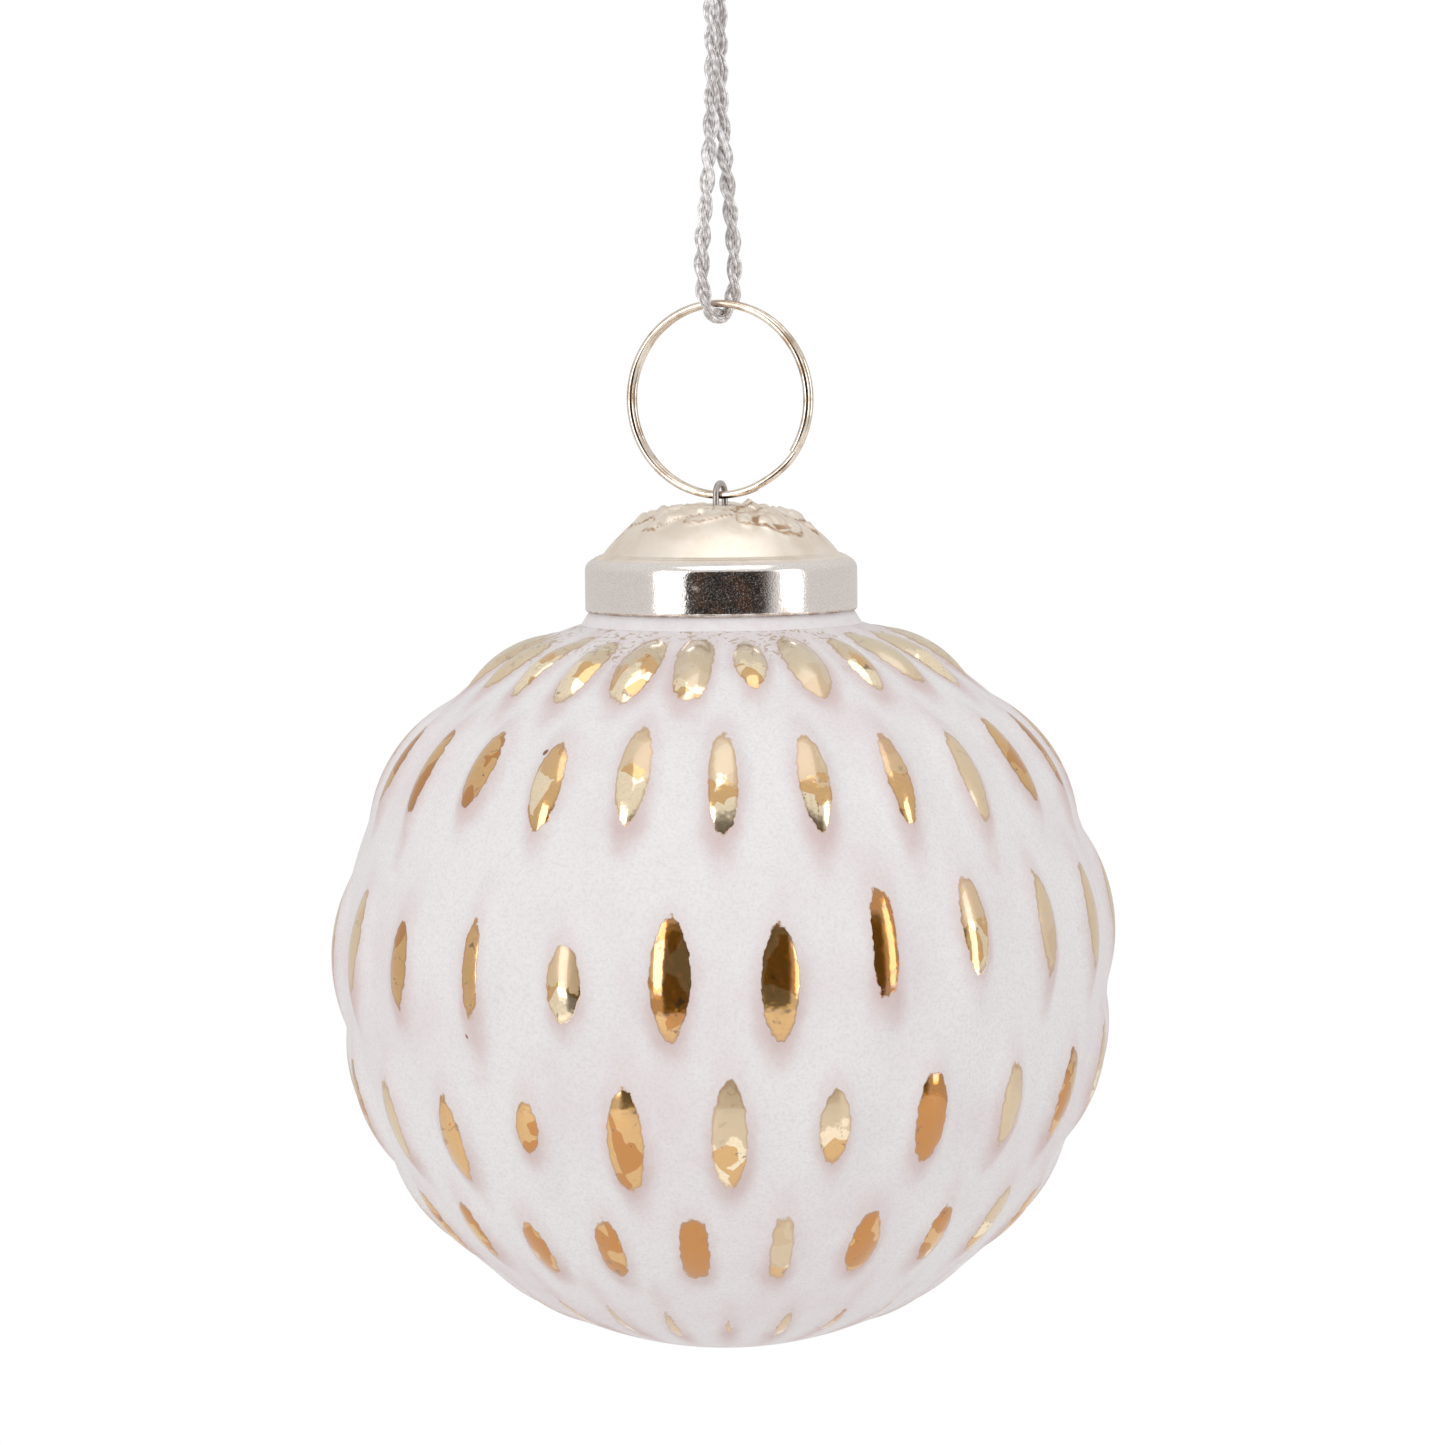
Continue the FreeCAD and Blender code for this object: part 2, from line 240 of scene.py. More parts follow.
PLY_LAY = 7.0 * MM
PLY_REACH = 0.46 * MM
YARN_LAY = 5.5 * MM
YARN_REACH = 0.37 * MM
YARN_RADIUS = 0.2 * MM
YARNS_PER_PLY = 7
YARN_SIDES = 6


def laid_rope(name, lines):
    """A two-ply rope of fine yarns, laid along each of these lines, as one mesh."""
    vertices, faces, shades, runs = [], [], [], []
    count = 0
    for stations, line in lines:
        across, over = carried_frames(line)
        for ply in range(2):
            turn = -2 * math.pi * stations / PLY_LAY + ply * math.pi
            out = np.cos(turn)[:, None] * across + np.sin(turn)[:, None] * over
            beside = -np.sin(turn)[:, None] * across + np.cos(turn)[:, None] * over
            squeeze = 1 + 0.05 * np.sin(stations / (2.3 * MM) + ply)
            core = line + out * (PLY_REACH * squeeze)[:, None]
            for yarn in range(YARNS_PER_PLY):
                wind = 2 * math.pi * (yarn / YARNS_PER_PLY + stations / YARN_LAY)
                wander = 1 + 0.08 * np.sin(stations / (1.7 * MM) + random.uniform(0, 6))
                reach = (YARN_REACH * wander)[:, None]
                path = core + reach * (np.cos(wind)[:, None] * out + np.sin(wind)[:, None] * beside)
                swell = 1 + 0.12 * np.sin(stations / (1.1 * MM) + random.uniform(0, 6))
                thick = YARN_RADIUS * swell
                new_vertices, new_faces = yarn_tube(path, thick, YARN_SIDES)
                vertices.append(new_vertices)
                faces += [tuple(index + count for index in face) for face in new_faces]
                count += len(new_vertices)
                shades.append(np.full(len(new_vertices), random.random()))
                runs.append(np.repeat(stations, YARN_SIDES))
    mesh = bpy.data.meshes.new(name)
    mesh.from_pydata(np.concatenate(vertices).tolist(), [], faces)
    mesh.shade_smooth()
    store(mesh, "yarn_shade", np.concatenate(shades))
    store(mesh, "yarn_run", np.concatenate(runs))
    piece = bpy.data.objects.new(name, mesh)
    scene.collection.objects.link(piece)
    return piece


ROPE_STEP = 0.3 * MM


def make_cord():
    """The loop from the knot round the ring and back, and the knot with its two tails."""
    stations, line = route_line("cord_route", CORD_ROUTE, ROPE_STEP)
    rope = laid_rope("twisted_cord", [(stations, line)])
    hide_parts("hanging_cord")
    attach(rope, "cord")
    turned_route = [(-x, -y, z + 0.5) for x, y, z in KNOT_ROUTE]
    strands = [route_line("knot_route", route, ROPE_STEP) for route in (KNOT_ROUTE, turned_route)]
    knot = laid_rope("tied_knot", strands)
    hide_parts("cord_knot")
    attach(knot, "cord")
    return rope, knot


# ---------------------------------------------------------------- split ring
RING_WIRE = 0.95 * MM
RING_REACH = (RING_HIGH.z - RING_LOW.z - RING_WIRE) / 2
TURN_OFFSET = 0.495 * MM
# the wire's ends and its crossing from turn to turn, in degrees along it
RING_START = 57
RING_CROSSING = (385, 415)
RING_END = 743
RING_STEPS = 1100


def make_ring():
    """Two close turns of wire; degrees run from the bottom of the ring towards +X."""
    centre = (RING_HIGH.z + RING_LOW.z) / 2
    degrees = np.linspace(RING_START, RING_END, RING_STEPS)
    share = np.clip((degrees - RING_CROSSING[0]) / (RING_CROSSING[1] - RING_CROSSING[0]), 0, 1)
    side = TURN_OFFSET * (2 * share * share * (3 - 2 * share) - 1)
    turn = np.radians(degrees)
    line = np.stack([RING_REACH * np.sin(turn), side, centre - RING_REACH * np.cos(turn)], 1)
    vertices, faces = yarn_tube(line, RING_WIRE / 2, 16)
    mesh = bpy.data.meshes.new("coiled_ring")
    mesh.from_pydata(vertices.tolist(), [], faces)
    mesh.shade_smooth()
    ring = bpy.data.objects.new("coiled_ring", mesh)
    scene.collection.objects.link(ring)
    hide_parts("split_ring")
    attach(ring, "ring")
    return ring


# ---------------------------------------------------------------- glass ball
SPHERE_SEGMENTS = 400
SPHERE_RINGS = 244
SPHERE_RADIUS = 52.5 * MM    # just clear of the bosses, before it is drawn down onto them
NECK_LATITUDE = 70.8         # where the sphere is cut open for the neck
NECK_ROOT = 1.4 * MM
NECK_RISE = 3.0 * MM
NECK_TAPER = 0.9
WINDOW_REACH = 14.0          # no window reaches further along the ball than this, in millimetres

# Worn windows that differ from their row: (row, number round the ball) to half length, half
# width, rise, roundness of the outline (1.4 pointed, 3 square) and tone of the lining
# (below 0.4 amber, then tan and pale gold; from 0.55 up a dull tan film covers more of it).
# the tone is partly painted reflection: low tones paint the gold as mirroring dim surroundings, high tones
# as mirroring bright light
SPECIAL_WINDOWS = {
    (2, 0): (4.7, 2.2, -0.8, 1.8, 0.62),
    (2, -1): (6.1, 1.1, 0.7, 2.2, 0.36),
    (2, -2): (5.5, 1.6, 0.8, 1.8, 0.22),
    (2, -3): (6.6, 1.8, 2.5, 1.6, 0.95),
    (2, 1): (7.4, 2.5, -0.5, 1.7, 0.30),
    (2, 2): (6.9, 2.3, -1.7, 1.8, 0.40),
    (2, 3): (6.2, 1.55, 1.8, 3.2, 0.05),
    (2, 4): (5.9, 1.9, 2.4, 1.9, 0.66),
    (2, 5): (6.5, 1.6, 0.9, 1.6, 0.95),
    (2, 6): (6.8, 1.8, 0.0, 1.7, 0.92),
    (3, -1): (3.4, 1.5, 1.6, 1.8, 0.33),
    (3, 0): (6.9, 2.2, -0.1, 1.9, 0.20),
    (3, 1): (7.1, 2.1, 0.2, 1.9, 0.84),
    (3, 2): (4.8, 1.9, 0.9, 1.7, 0.78),
    (3, 3): (5.8, 2.1, 0.6, 1.9, 0.06),
    (3, 4): (5.6, 1.6, 0.5, 1.7, 0.95),
    (3, -2): (5.8, 1.7, -1.0, 1.7, 0.42),
    (3, -3): (5.6, 1.5, 0.0, 1.7, 0.93),
    (1, 1): (6.8, 1.75, -0.3, 2.2, 0.74),
    (1, 2): (6.6, 1.9, -0.4, 1.8, 0.80),
    (1, 3): (6.5, 1.6, -0.6, 1.7, 0.58),
    (1, 0): (6.7, 2.0, 0.8, 1.9, 0.76),
    (1, -1): (5.8, 2.0, -1.2, 2.0, 0.55),
    (1, 4): (6.6, 1.6, -1.0, 1.6, 0.95),
    (0, 1): (6.6, 2.3, 0.4, 2.8, 0.86),
    (0, 0): (7.0, 2.7, 0.2, 2.0, 0.80),
    (0, 2): (5.4, 2.0, 0.4, 1.7, 0.84),
    (0, 3): (6.8, 2.5, 0.0, 2.0, 0.88),
    (0, -1): (6.4, 2.2, -0.4, 2.2, 0.82),
    (4, 1): (5.0, 1.75, 0.6, 3.0, 0.10),
    (4, 2): (5.3, 1.35, 0.4, 2.6, 0.86),
    (4, 3): (5.0, 1.9, 0.4, 2.0, 0.34),
    (4, 0): (5.0, 1.6, 0.4, 2.2, 0.15),
    (5, 1): (2.2, 0.35, 0.0, 2.0, 0.6),
    (5, 2): (4.4, 0.75, 0.0, 1.6, 0.6),
    (5, 0): (4.4, 0.6, 0.0, 1.6, 0.6),
}
# usual half length, half width and roundness of the windows of each row, in millimetres
ROW_WINDOWS = [
    (6.6, 2.2, 2.0),
    (6.6, 1.7, 1.8),
    (6.6, 1.8, 1.7),
    (6.2, 1.8, 1.8),
    (4.9, 1.6, 2.2),
    (4.4, 0.5, 1.6),
]


def window_of(row, number):
    """Half length, half width, rise, roundness and tone of one worn window."""
    wrapped = number if number < BOSSES_PER_ROW / 2 else number - BOSSES_PER_ROW
    if (row, wrapped) in SPECIAL_WINDOWS:
        return SPECIAL_WINDOWS[(row, wrapped)]
    dice = random.Random(1000 * row + number)
    length, width, roundness = ROW_WINDOWS[row]
    length *= dice.uniform(0.8, 1.08)
    width *= dice.uniform(0.75, 1.15)
    tone = dice.uniform(0.72, 0.97) if row == 0 else dice.random()
    return length, width, dice.uniform(-0.8, 0.8), roundness, tone


def wear_of(place):
    """Of the nearest worn window: how far inside it a place is, in millimetres, how far along
    it, as a share of its half length, and its tone."""
    out = place - BALL_CENTRE
    radius = math.hypot(out.x, out.y) / MM
    latitude = math.degrees(math.atan2(out.z / MM, radius))
    azimuth = math.degrees(math.atan2(out.y, out.x)) + 90
    pitch = 360 / BOSSES_PER_ROW
    lean = math.cos(math.radians(azimuth - LEAN_AZIMUTH))
    best = (-9.0, 0.0, 0.0)
    for row, (middle, shift, row_lean) in enumerate(BOSS_ROWS):
        along = math.radians(latitude - middle - row_lean * lean) * out.length / MM
        if abs(along) > WINDOW_REACH:
            continue
        nearest = round(azimuth / pitch - shift)
        across = math.radians(azimuth - (nearest + shift) * pitch) * radius
        length, width, rise, roundness, tone = window_of(row, nearest % BOSSES_PER_ROW)
        part = (along - rise) / length
        reach = (abs(part) ** roundness + abs(across / width) ** roundness) ** (1 / roundness)
        inside = (1 - reach) * width
        if inside > best[0]:
            best = (inside, part, tone)
    return best


def make_ball():
    """A fine sphere drawn down onto the bossed body, with its creases softened."""
    rest()
    bpy.ops.mesh.primitive_uv_sphere_add(
        segments=SPHERE_SEGMENTS, ring_count=SPHERE_RINGS, radius=SPHERE_RADIUS, location=BALL_CENTRE
    )
    neck_edge = BALL_CENTRE.z + SPHERE_RADIUS * math.sin(math.radians(NECK_LATITUDE))
    bpy.ops.object.mode_set(mode="EDIT")
    bpy.ops.mesh.select_all(action="SELECT")
    bpy.ops.mesh.bisect(plane_co=(0, 0, neck_edge), plane_no=(0, 0, 1), clear_outer=True)
    ball = settle("blown_ball")
    finish_with(
        ball,
        "SHRINKWRAP",
        target=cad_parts["glass_ball"],
        wrap_method="PROJECT",
        use_project_x=False,
        use_negative_direction=True,
        use_positive_direction=False,
    )
    finish_with(ball, "SMOOTH", factor=0.5, iterations=5)
    neck_up(ball)
    wear = np.array([wear_of(vertex.co) for vertex in ball.data.vertices])
    for column, name in enumerate(("inside", "along", "tone")):
        store(ball.data, name, wear[:, column])
    ball.data.shade_smooth()
    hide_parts("glass_ball")
    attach(ball, "ball")
    return ball


def neck_up(ball):
    """Extrudes the open rim up into the short double neck that the cap hides."""
    rest()
    ball.select_set(True)
    bpy.context.view_layer.objects.active = ball
    bpy.ops.object.mode_set(mode="EDIT")
    bpy.ops.mesh.select_all(action="DESELECT")
    bpy.ops.mesh.select_mode(type="EDGE")
    bpy.ops.mesh.select_non_manifold()
    for rise, tapers in ((NECK_ROOT, True), (NECK_RISE, False), (-NECK_RISE, True)):
        bpy.ops.mesh.extrude_region_move(TRANSFORM_OT_translate={"value": (0, 0, rise)})
        if tapers:
            narrower = (NECK_TAPER, NECK_TAPER, 1)
            bpy.ops.transform.resize(value=narrower, center_override=(0, 0, CAP_LOW.z))
    bpy.ops.object.mode_set(mode="OBJECT")


# ---------------------------------------------------------------- cap
CAP_SHEET = 0.5 * MM
CAP_SEGMENTS = 300
DOME_STEPS = 34
LEDGE_RISE = 6.3 * MM        # height of the ledge over the skirt's lower edge
PETALS_FROM, PETALS_TO = 3.8, 13.5     # radii between which the petals are stamped, in millimetres
DOME_FOOT = (14.95, 7.1)
DOME_TOP = (4.8, 12.82)
DOME_BULGE = 1.35
# the cap's outline on either side of the dome: radius, then height over the skirt's lower
# edge, both in millimetres
PAD_OUTLINE = [(2.0, 13.25), (2.6, 13.27), (3.4, 13.25), (4.1, 13.16), (4.5, 13.0)]
SKIRT_OUTLINE = [
    (15.15, 7.14), (15.35, 7.08), (15.5, 6.9), (15.65, 6.93), (15.85, 6.85), (16.05, 6.68),
    (16.4, 6.5), (16.8, 6.18), (17.08, 5.78), (17.18, 5.4), (17.2, 4.9), (17.2, 3.8),
    (17.2, 2.6), (17.2, 1.4), (17.2, 0.5), (17.16, 0.2), (17.05, 0.04),
]


def dome_outline(steps):
    """Points down the dome's arc, from the pad's edge to the dome's foot."""
    top, foot = Vector(DOME_TOP), Vector(DOME_FOOT)
    along = foot - top
    out = Vector((-along.y, along.x)).normalized()
    points = []
    for step in range(steps + 1):
        share = step / steps
        place = top + along * share + out * DOME_BULGE * 4 * share * (1 - share)
        points.append(tuple(place))
    return points


def petal_relief(radius, azimuth):
    """Height of the stamped petals round the hole, and how deep a crease is there."""
    if not PETALS_FROM * MM < radius < PETALS_TO * MM:
        return 0.0, 0.0
    reach = (radius / MM - PETALS_FROM) / (PETALS_TO - PETALS_FROM)
    around = Vector((math.cos(azimuth), math.sin(azimuth), 0))
    spread = noise.noise(around * 1.6 + Vector((0, 0, reach * 2)))
    lobes = abs(math.sin(4 * azimuth + 2.6 * spread + 1.1 * reach))
    rim = 0.70 + 0.24 * noise.noise(around * 1.3 + Vector((0, 0, 4)))
    border = reach - rim * (0.72 + 0.42 * lobes)
    edge = math.exp(-((border / 0.032) ** 2))
    inside = 1 / (1 + math.exp(border / 0.03))
    crumple = noise.noise(around * (radius * 620) + Vector((0, 0, 7)))
    fine = noise.noise(around * (radius * 1500) + Vector((0, 0, 3)))
    height = inside * (0.5 * lobes + 0.62 * crumple + 0.2 * fine) * min(1.0, reach / 0.08)
    valley = max(0.0, 0.34 - lobes) * 1.9 + max(0.0, -crumple - 0.08) * 1.6
    crease = max(edge * 0.75, inside * valley)
    return height * MM, min(1.0, crease)


def make_cap():
    """The turned cap, stamped with petals, with its sheet's thickness inside."""
    outline = PAD_OUTLINE + dome_outline(DOME_STEPS) + SKIRT_OUTLINE
    profile = [(radius * MM, CAP_LOW.z + height * MM) for radius, height in outline]
    cap = turned("stamped_cap", profile, CAP_SEGMENTS)
    creases = []
    for vertex in cap.data.vertices:
        radius = math.hypot(vertex.co.x, vertex.co.y)
        azimuth = math.atan2(vertex.co.y, vertex.co.x)
        height, crease = petal_relief(radius, azimuth)
        vertex.co.z += height
        creases.append(crease)
    store(cap.data, "crease", creases)
    rest()
    cap.select_set(True)
    finish_with(cap, "SOLIDIFY", thickness=CAP_SHEET, offset=-1)
    cap.data.shade_smooth()
    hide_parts("cap")
    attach(cap, "ball")
    return cap


# ---------------------------------------------------------------- materials
def grain_group():
    """Random grain for every finish here, and the patches where it passes from Low to High."""
    group = bpy.data.node_groups.new("grain", "ShaderNodeTree")
    inputs = {"Place": "NodeSocketVector"}
    for name in ("Scale", "Detail", "Roughness", "Distortion", "Low", "High"):
        inputs[name] = "NodeSocketFloat"
    for name, kind in inputs.items():
        group.interface.new_socket(name=name, in_out="INPUT", socket_type=kind)
    for name in ("Grain", "Patches"):
        group.interface.new_socket(name=name, in_out="OUTPUT", socket_type="NodeSocketFloat")
    inlet = group.nodes.new("NodeGroupInput").outputs
    outlet = group.nodes.new("NodeGroupOutput").inputs
    noise_node = group.nodes.new("ShaderNodeTexNoise")
    group.links.new(inlet["Place"], noise_node.inputs["Vector"])
    for name in ("Scale", "Detail", "Roughness", "Distortion"):
        group.links.new(inlet[name], noise_node.inputs[name])
    between = group.nodes.new("ShaderNodeMapRange")
    between.interpolation_type = "SMOOTHSTEP"
    group.links.new(noise_node.outputs["Fac"], between.inputs[0])
    group.links.new(inlet["Low"], between.inputs[1])
    group.links.new(inlet["High"], between.inputs[2])
    group.links.new(noise_node.outputs["Fac"], outlet["Grain"])
    group.links.new(between.outputs[0], outlet["Patches"])
    return group


GRAIN = grain_group()


class Shader:
    """A node material being put together, with short calls for the nodes used here."""

    def __init__(self, name):
        self.material = bpy.data.materials.new(name)
        self.material.use_nodes = True
        self.tree = self.material.node_tree
        self.surface = self.tree.nodes["Principled BSDF"]
        self.links = self.tree.links

    def node(self, kind, **settings):
        made = self.tree.nodes.new(kind)
        for key, value in settings.items():
            setattr(made, key, value)
        return made

    def feed(self, socket, value):
        if isinstance(value, bpy.types.NodeSocket):
            self.links.new(value, socket)
        elif value is not None:
            socket.default_value = value

    def place(self):
        return self.node("ShaderNodeTexCoord").outputs["Object"]

    def attribute(self, name):
        return self.node("ShaderNodeAttribute", attribute_name=name).outputs["Fac"]

    def place_grain(self, vector, scale, detail, roughness, distortion):
        made = self.node("ShaderNodeGroup", node_tree=GRAIN)
        self.feed(made.inputs["Place"], vector)
        for key, value in (("Scale", scale), ("Detail", detail), ("Roughness", roughness)):
            made.inputs[key].default_value = value
        made.inputs["Distortion"].default_value = distortion
        return made

    def noise(self, vector, scale, detail=3.0, roughness=0.55, distortion=0.0):
        return self.place_grain(vector, scale, detail, roughness, distortion).outputs["Grain"]

    def patches(self, vector, scale, detail, roughness, low, high, distortion=0.0):
        made = self.place_grain(vector, scale, detail, roughness, distortion)
        made.inputs["Low"].default_value = low
        made.inputs["High"].default_value = high
        return made.outputs["Patches"]

    def math(self, operation, first, second=None, third=None, clamp=False):
        made = self.node("ShaderNodeMath", operation=operation, use_clamp=clamp)
        for socket, value in zip(made.inputs, (first, second, third)):
            self.feed(socket, value)
        return made.outputs[0]

    def ramp(self, value, low, high, to_low=0.0, to_high=1.0):
        made = self.node("ShaderNodeMapRange", interpolation_type="SMOOTHSTEP")
        for socket, number in zip(made.inputs, (value, low, high, to_low, to_high)):
            self.feed(socket, number)
        return made.outputs[0]

    def mix(self, share, first, second):
        made = self.node("ShaderNodeMix", data_type="RGBA")
        for socket, value in zip((made.inputs[0], made.inputs[6], made.inputs[7]), (share, first, second)):
            if isinstance(value, tuple) and len(value) == 3:
                value = (*value, 1)
            self.feed(socket, value)
        return made.outputs[2]

    def blend(self, share, first, second):
        made = self.node("ShaderNodeMix", data_type="FLOAT")
        for socket, value in zip((made.inputs[0], made.inputs[2], made.inputs[3]), (share, first, second)):
            self.feed(socket, value)
        return made.outputs[0]

    def bump(self, height, strength, distance):
        made = self.node("ShaderNodeBump")
        made.inputs["Strength"].default_value = strength
        made.inputs["Distance"].default_value = distance
        self.feed(made.inputs["Height"], height)
        self.feed(self.surface.inputs["Normal"], made.outputs["Normal"])

    def red(self, colour):
        made = self.node("ShaderNodeSeparateColor")
        self.feed(made.inputs[0], colour)
        return made.outputs[0]

    def spread(self, value):
        made = self.node("ShaderNodeCombineXYZ")
        for socket in made.inputs:
            self.feed(socket, value)
        return made.outputs[0]

    def stretched(self, vector, scale):
        made = self.node("ShaderNodeMapping")
        self.feed(made.inputs["Vector"], vector)
        made.inputs["Scale"].default_value = scale
        return made.outputs["Vector"]

    def set(self, **sockets):
        for key, value in sockets.items():
            socket = self.surface.inputs[key.replace("_", " ")]
            if isinstance(value, tuple):
                value = (*value, 1)
            self.feed(socket, value)


PAINT = (0.755, 0.74, 0.75)
PAINT_WARM = (0.72, 0.665, 0.68)
THIN_COAT_AND_PAINTED_SHADE = (0.58, 0.45, 0.44)
AMBER = (0.56, 0.22, 0.02)
TAN = (0.74, 0.44, 0.16)
PALE_GOLD_AND_HIGHLIGHT = (1.0, 0.84, 0.58)
UMBER = (0.15, 0.09, 0.045)
FILM = (0.60, 0.45, 0.28)
BROWN = (0.24, 0.11, 0.06)


def painted_glass():
    """Matt white coat over gold-lined glass, rubbed through to the glass on the crests."""
    s = Shader("rubbed_white_coat")
    place = s.place()
    inside, along, tone = (s.attribute(name) for name in ("inside", "along", "tone"))
    ragged = s.noise(place, 900, 3, 0.4)
    chips = s.noise(place, 4200, 2, 0.5)
    edge = s.math("MULTIPLY_ADD", ragged, 0.6, s.math("SUBTRACT", inside, 0.30))
    edge = s.math("MULTIPLY_ADD", chips, 0.08, s.math("SUBTRACT", edge, 0.04))
    window = s.ramp(edge, -0.07, 0.05)

    # the coat: cloudy, with grain and specks, and a warmer, darker pink halo round each window: partly
    # coat that thins out there, partly painted shade of the boss, heavier below the window
    grain = s.noise(place, 2600, 3, 0.6)
    coat = s.mix(s.patches(place, 48, 4, 0.62, 0.42, 0.72), PAINT, PAINT_WARM)
    coat = s.mix(s.math("MULTIPLY", s.ramp(grain, 0.40, 0.72), 0.42), coat, (0.60, 0.57, 0.58))
    worn = s.noise(place, 130, 3, 0.6)
    spread = s.math("MULTIPLY_ADD", worn, 2.4, s.math("SUBTRACT", inside, 1.2))
    fade = s.ramp(spread, -2.3, 0.3)
    # painted shade: the halo is laid on more heavily below each window than above it
    painted_shade_below = s.ramp(along, 0.8, -1.1, 0.35, 0.85)
    coat = s.mix(s.math("MULTIPLY", s.math("POWER", fade, 1.8), painted_shade_below), coat, THIN_COAT_AND_PAINTED_SHADE)
    cells = s.node("ShaderNodeTexVoronoi", feature="F1")
    s.feed(cells.inputs["Vector"], place)
    cells.inputs["Scale"].default_value = 150
    pick = s.math("GREATER_THAN", s.red(cells.outputs["Color"]), 0.86)
    size = s.math("ADD", cells.outputs["Distance"], s.math("MULTIPLY_ADD", ragged, 0.16, -0.08))
    speck = s.math("MULTIPLY", s.ramp(size, 0.075, 0.055), pick)
    coat = s.mix(speck, coat, BROWN)

    # scuffs that run down from the cap
    height = s.node("ShaderNodeSeparateXYZ")
    s.feed(height.inputs[0], place)
    upper = s.ramp(height.outputs[2], BALL_CENTRE.z + 37 * MM, BALL_CENTRE.z + 41 * MM)
    streak = s.noise(s.stretched(place, (1.0, 1.0, 0.35)), 1100, 3, 0.6, 0.8)
    patchy = s.patches(place, 95, 2, 0.5, 0.46, 0.56)
    scuff = s.math("MULTIPLY", s.math("MULTIPLY", s.ramp(streak, 0.54, 0.61), patchy), upper)
    coat = s.mix(s.math("MULTIPLY", scuff, 0.75), coat, (0.40, 0.29, 0.17))

    # the lining: amber, tan and pale gold patches behind the glass, some under a dull film; partly the
    # lining's own mottling and partly painted reflection, the amber standing in for dim and the pale gold
    # for bright surroundings mirrored in the gold
    patch = s.node("ShaderNodeTexVoronoi", feature="F1")
    shifted = s.node("ShaderNodeVectorMath", operation="MULTIPLY_ADD")
    s.feed(shifted.inputs[0], s.spread(s.noise(place, 240, 2, 0.5)))
    shifted.inputs[1].default_value = (0.005, 0.005, 0.003)
    s.feed(shifted.inputs[2], s.stretched(place, (1.0, 1.0, 0.7)))
    s.feed(patch.inputs["Vector"], shifted.outputs[0])
    patch.inputs["Scale"].default_value = 260
    shade = s.math("MULTIPLY_ADD", tone, 0.75, s.math("MULTIPLY", s.red(patch.outputs["Color"]), 0.5))
    # painted reflection in part: the pale gold patches stand in for bright light mirrored in the gold
    gold = s.mix(s.ramp(shade, 0.46, 0.49), AMBER, TAN)
    gold = s.mix(s.ramp(shade, 0.80, 0.83), gold, PALE_GOLD_AND_HIGHLIGHT)
    stain = s.patches(place, 620, 4, 0.65, 0.62, 0.67, 0.6)
    gold = s.mix(s.math("MULTIPLY", stain, 0.8), gold, UMBER)
    gold = s.mix(s.math("MULTIPLY", s.ramp(grain, 0.35, 0.75), 0.18), gold, (0.42, 0.25, 0.13))
    reach = s.math("MULTIPLY_ADD", s.noise(place, 380, 3), 1.6, s.math("SUBTRACT", along, 0.8))
    reach = s.math("MULTIPLY_ADD", s.ramp(tone, 0.82, 0.95), 3.0, reach)
    veil = s.math("MULTIPLY", s.ramp(reach, 0.0, 0.10), s.ramp(tone, 0.52, 0.62))
    gold = s.mix(s.math("MULTIPLY", veil, 0.85), gold, s.mix(upper, FILM, (0.55, 0.46, 0.32)))
    gold = s.mix(s.math("MULTIPLY", scuff, 0.55), gold, (0.22, 0.15, 0.08))
    rim = s.ramp(edge, 0.30, 0.02)
    gold = s.mix(s.math("MULTIPLY", rim, 0.55), gold, (0.42, 0.24, 0.14))

    shine = s.blend(veil, 0.85, 0.30)
    s.set(
        Base_Color=s.mix(window, coat, gold),
        Metallic=s.math("MULTIPLY", window, shine),
        Roughness=s.blend(window, s.ramp(grain, 0.2, 0.8, 0.60, 0.80), s.blend(veil, 0.13, 0.30)),
        Coat_Weight=s.math("MULTIPLY", window, 0.9),
    )
    s.surface.inputs["Coat Roughness"].default_value = 0.03
    s.surface.inputs["Coat IOR"].default_value = 1.8
    covered = s.math("SUBTRACT", 1.0, window)
    matt = s.math("MULTIPLY_ADD", grain, 0.9, 1.0)
    glassy = s.math("MULTIPLY", s.noise(place, 420, 2), 1.3)
    s.bump(s.blend(covered, glassy, matt), 0.55, 0.12 * MM)
    return s.material


